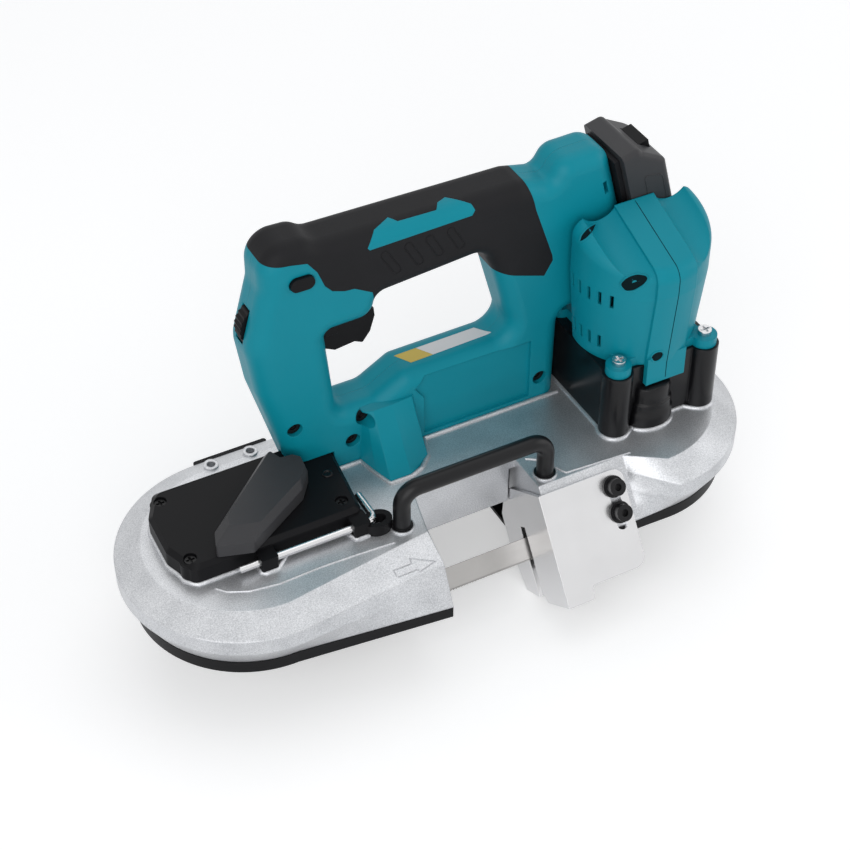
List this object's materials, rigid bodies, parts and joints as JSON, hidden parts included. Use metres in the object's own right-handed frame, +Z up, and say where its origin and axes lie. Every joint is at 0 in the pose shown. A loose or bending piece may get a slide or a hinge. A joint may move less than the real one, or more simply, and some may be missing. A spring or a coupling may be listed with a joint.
{
  "type": "portable band saw",
  "caption": "Compact cordless band saw: cast deck with a throat, blade on two covered wheels, D-handle with trigger, motor pod, slide-on battery, tension lever and stopper plate.",
  "frame": {"origin": "bottom centre of the box round the whole saw", "axes": "+X along the tool from the idler wheel to the motor, +Y from the blade side to the handle side, +Z up from the blade guards to the handle"},
  "size_m": [0.3852, 0.1636, 0.2463],
  "materials": {
    "bearing_steel": "polished",
    "black_plastic": "fine texture",
    "black_steel": "satin black",
    "blade_steel": "ground",
    "board_green": "solder resist",
    "bright_steel": "zinc plated",
    "cast_silver": "sand-cast and silver-painted",
    "cast_wheel": "machined",
    "cell_wrap": "shrink sleeve",
    "copper_winding": "enamelled",
    "dark_grey_plastic": "fine texture",
    "gloss_black": "smooth",
    "grip_rubber": "soft, dull",
    "teal_plastic": "fine spark texture",
    "tyre_rubber": "smooth"
  },
  "bodies": {
    "frame": {"deck_frame": "cast_silver", "left_wheel_guard": "black_plastic", "right_wheel_guard": "black_plastic", "rear_blade_guard": "black_plastic", "guard_screws": "black_steel", "rear_bumper": "grip_rubber", "front_guard_bar": "black_steel", "tension_cover": "black_plastic", "tension_cover_screws": "black_steel", "tension_spring": "bearing_steel", "hex_key": "bright_steel", "spindle_bearings": "bearing_steel", "gear_housing": "gloss_black", "motor_housing": "teal_plastic", "motor_housing_screws": "bright_steel", "stator": "copper_winding", "motor_bearings": "bearing_steel", "saw_blade": "blade_steel", "stopper_bolts": "black_steel", "handle_front_shell": "teal_plastic", "handle_rear_shell": "teal_plastic", "grip_overmold": "grip_rubber", "grip_inlays": "teal_plastic", "handle_screws": "black_steel", "switch_unit": "black_plastic", "controller_board": "board_green", "battery_seal": "grip_rubber", "battery_terminal_block": "black_plastic", "left_guide_block": "black_steel", "right_guide_block": "black_steel"},
    "drive_train": {"drive_wheel": "cast_wheel", "drive_tyre": "tyre_rubber", "drive_wheel_screw": "black_steel", "drive_spindle": "bearing_steel", "output_gear": "bearing_steel"},
    "layshaft_set": {"layshaft": "bearing_steel", "layshaft_gear": "bearing_steel"},
    "motor_set": {"motor_shaft": "bearing_steel", "rotor": "bearing_steel", "cooling_fan": "black_plastic"},
    "lever_set": {"tension_lever": "dark_grey_plastic", "tension_cam": "bearing_steel"},
    "slider_set": {"tension_slider": "cast_wheel", "idler_axle": "bearing_steel"},
    "idler_set": {"idler_wheel": "cast_wheel", "idler_tyre": "tyre_rubber", "idler_bearing": "bearing_steel"},
    "stopper_set": {"stopper_plate": "bright_steel"},
    "trigger_set": {"trigger": "black_plastic"},
    "lock_set": {"lock_off_button": "black_plastic"},
    "dial_set": {"speed_dial": "black_plastic"},
    "battery_set": {"battery_case": "dark_grey_plastic", "battery_cells": "cell_wrap"},
    "release_set": {"battery_release_button": "black_plastic"},
    "left_inner_roller_set": {"left_inner_roller": "bearing_steel"},
    "left_outer_roller_set": {"left_outer_roller": "bearing_steel"},
    "left_back_roller_set": {"left_back_roller": "bearing_steel"},
    "right_inner_roller_set": {"right_inner_roller": "bearing_steel"},
    "right_outer_roller_set": {"right_outer_roller": "bearing_steel"},
    "right_back_roller_set": {"right_back_roller": "bearing_steel"}
  },
  "joints": [
    {"name": "drive_spin", "type": "hinge", "parent": "frame", "child": "drive_train", "pos_m": [0.11967, 0.00532, 0.03417], "axis": [0, 0, 1], "continuous": true},
    {"name": "layshaft_spin", "type": "hinge", "parent": "frame", "child": "layshaft_set", "pos_m": [0.13065, 0.02203, 0.09457], "axis": [0, 0, 1], "continuous": true},
    {"name": "motor_spin", "type": "hinge", "parent": "frame", "child": "motor_set", "pos_m": [0.134, 0.00232, 0.12457], "axis": [0, 0, 1], "continuous": true},
    {"name": "tension_turn", "type": "hinge", "parent": "frame", "child": "lever_set", "pos_m": [-0.084, 0.01932, 0.08457], "axis": [0, 0, 1], "range_deg": [0, 65]},
    {"name": "tension_slide", "type": "slide", "parent": "frame", "child": "slider_set", "axis": [1, 0, 0], "range_m": [0, 0.00484], "deforming": ["tension_spring"]},
    {"name": "idler_spin", "type": "hinge", "parent": "slider_set", "child": "idler_set", "pos_m": [-0.11967, 0.00532, 0.03417], "axis": [0, 0, 1], "continuous": true},
    {"name": "stopper_slide", "type": "slide", "parent": "frame", "child": "stopper_set", "axis": [0, 0.5736, 0.8192], "range_m": [0, 0.007]},
    {"name": "trigger_pull", "type": "hinge", "parent": "frame", "child": "trigger_set", "pos_m": [-0.049, 0.04562, 0.18064], "axis": [0, -1, 0], "range_deg": [0, 12], "stiffness_Nm_per_rad": 0.6, "springref_deg": -5.73},
    {"name": "lock_press", "type": "slide", "parent": "frame", "child": "lock_set", "axis": [0, 1, 0], "range_m": [0, 0.0035], "stiffness_N_per_m": 700, "springref_m": -0.002},
    {"name": "dial_turn", "type": "hinge", "parent": "frame", "child": "dial_set", "pos_m": [-0.0846, 0.04562, 0.19247], "axis": [0, 1, 0], "range_deg": [-135, 135]},
    {"name": "battery_slide", "type": "slide", "parent": "frame", "child": "battery_set", "axis": [-0.2588, 0, 0.9659], "range_m": [0, 0.075]},
    {"name": "release_press", "type": "slide", "parent": "battery_set", "child": "release_set", "axis": [0.2588, 0, -0.9659], "range_m": [0, 0.0025], "stiffness_N_per_m": 800, "springref_m": -0.002},
    {"name": "left_inner_roller_spin", "type": "hinge", "parent": "frame", "child": "left_inner_roller_set", "pos_m": [-0.044, -0.03071, 0.03139], "axis": [0, 0.5736, 0.8192], "continuous": true},
    {"name": "left_outer_roller_spin", "type": "hinge", "parent": "frame", "child": "left_outer_roller_set", "pos_m": [-0.044, -0.03866, 0.03696], "axis": [0, 0.5736, 0.8192], "continuous": true},
    {"name": "left_back_roller_spin", "type": "hinge", "parent": "frame", "child": "left_back_roller_set", "pos_m": [-0.044, -0.02832, 0.04327], "axis": [0, -0.8192, 0.5736], "continuous": true},
    {"name": "right_inner_roller_spin", "type": "hinge", "parent": "frame", "child": "right_inner_roller_set", "pos_m": [0.058, -0.03071, 0.03139], "axis": [0, 0.5736, 0.8192], "continuous": true},
    {"name": "right_outer_roller_spin", "type": "hinge", "parent": "frame", "child": "right_outer_roller_set", "pos_m": [0.058, -0.03866, 0.03696], "axis": [0, 0.5736, 0.8192], "continuous": true},
    {"name": "right_back_roller_spin", "type": "hinge", "parent": "frame", "child": "right_back_roller_set", "pos_m": [0.058, -0.02832, 0.04327], "axis": [0, -0.8192, 0.5736], "continuous": true}
  ],
  "couplings": [
    {"joint": "layshaft_spin", "follows": "drive_spin", "ratio": -4},
    {"joint": "motor_spin", "follows": "drive_spin", "ratio": 16},
    {"joint": "idler_spin", "follows": "drive_spin", "ratio": 1},
    {"joint": "tension_turn", "follows": "tension_slide", "rad_per_m": 234.56},
    {"joint": "left_inner_roller_spin", "follows": "drive_spin", "ratio": 8.8889},
    {"joint": "left_outer_roller_spin", "follows": "drive_spin", "ratio": -8.8889},
    {"joint": "left_back_roller_spin", "follows": "drive_spin", "ratio": 8.8889},
    {"joint": "right_inner_roller_spin", "follows": "drive_spin", "ratio": 8.8889},
    {"joint": "right_outer_roller_spin", "follows": "drive_spin", "ratio": -8.8889},
    {"joint": "right_back_roller_spin", "follows": "drive_spin", "ratio": 8.8889}
  ]
}
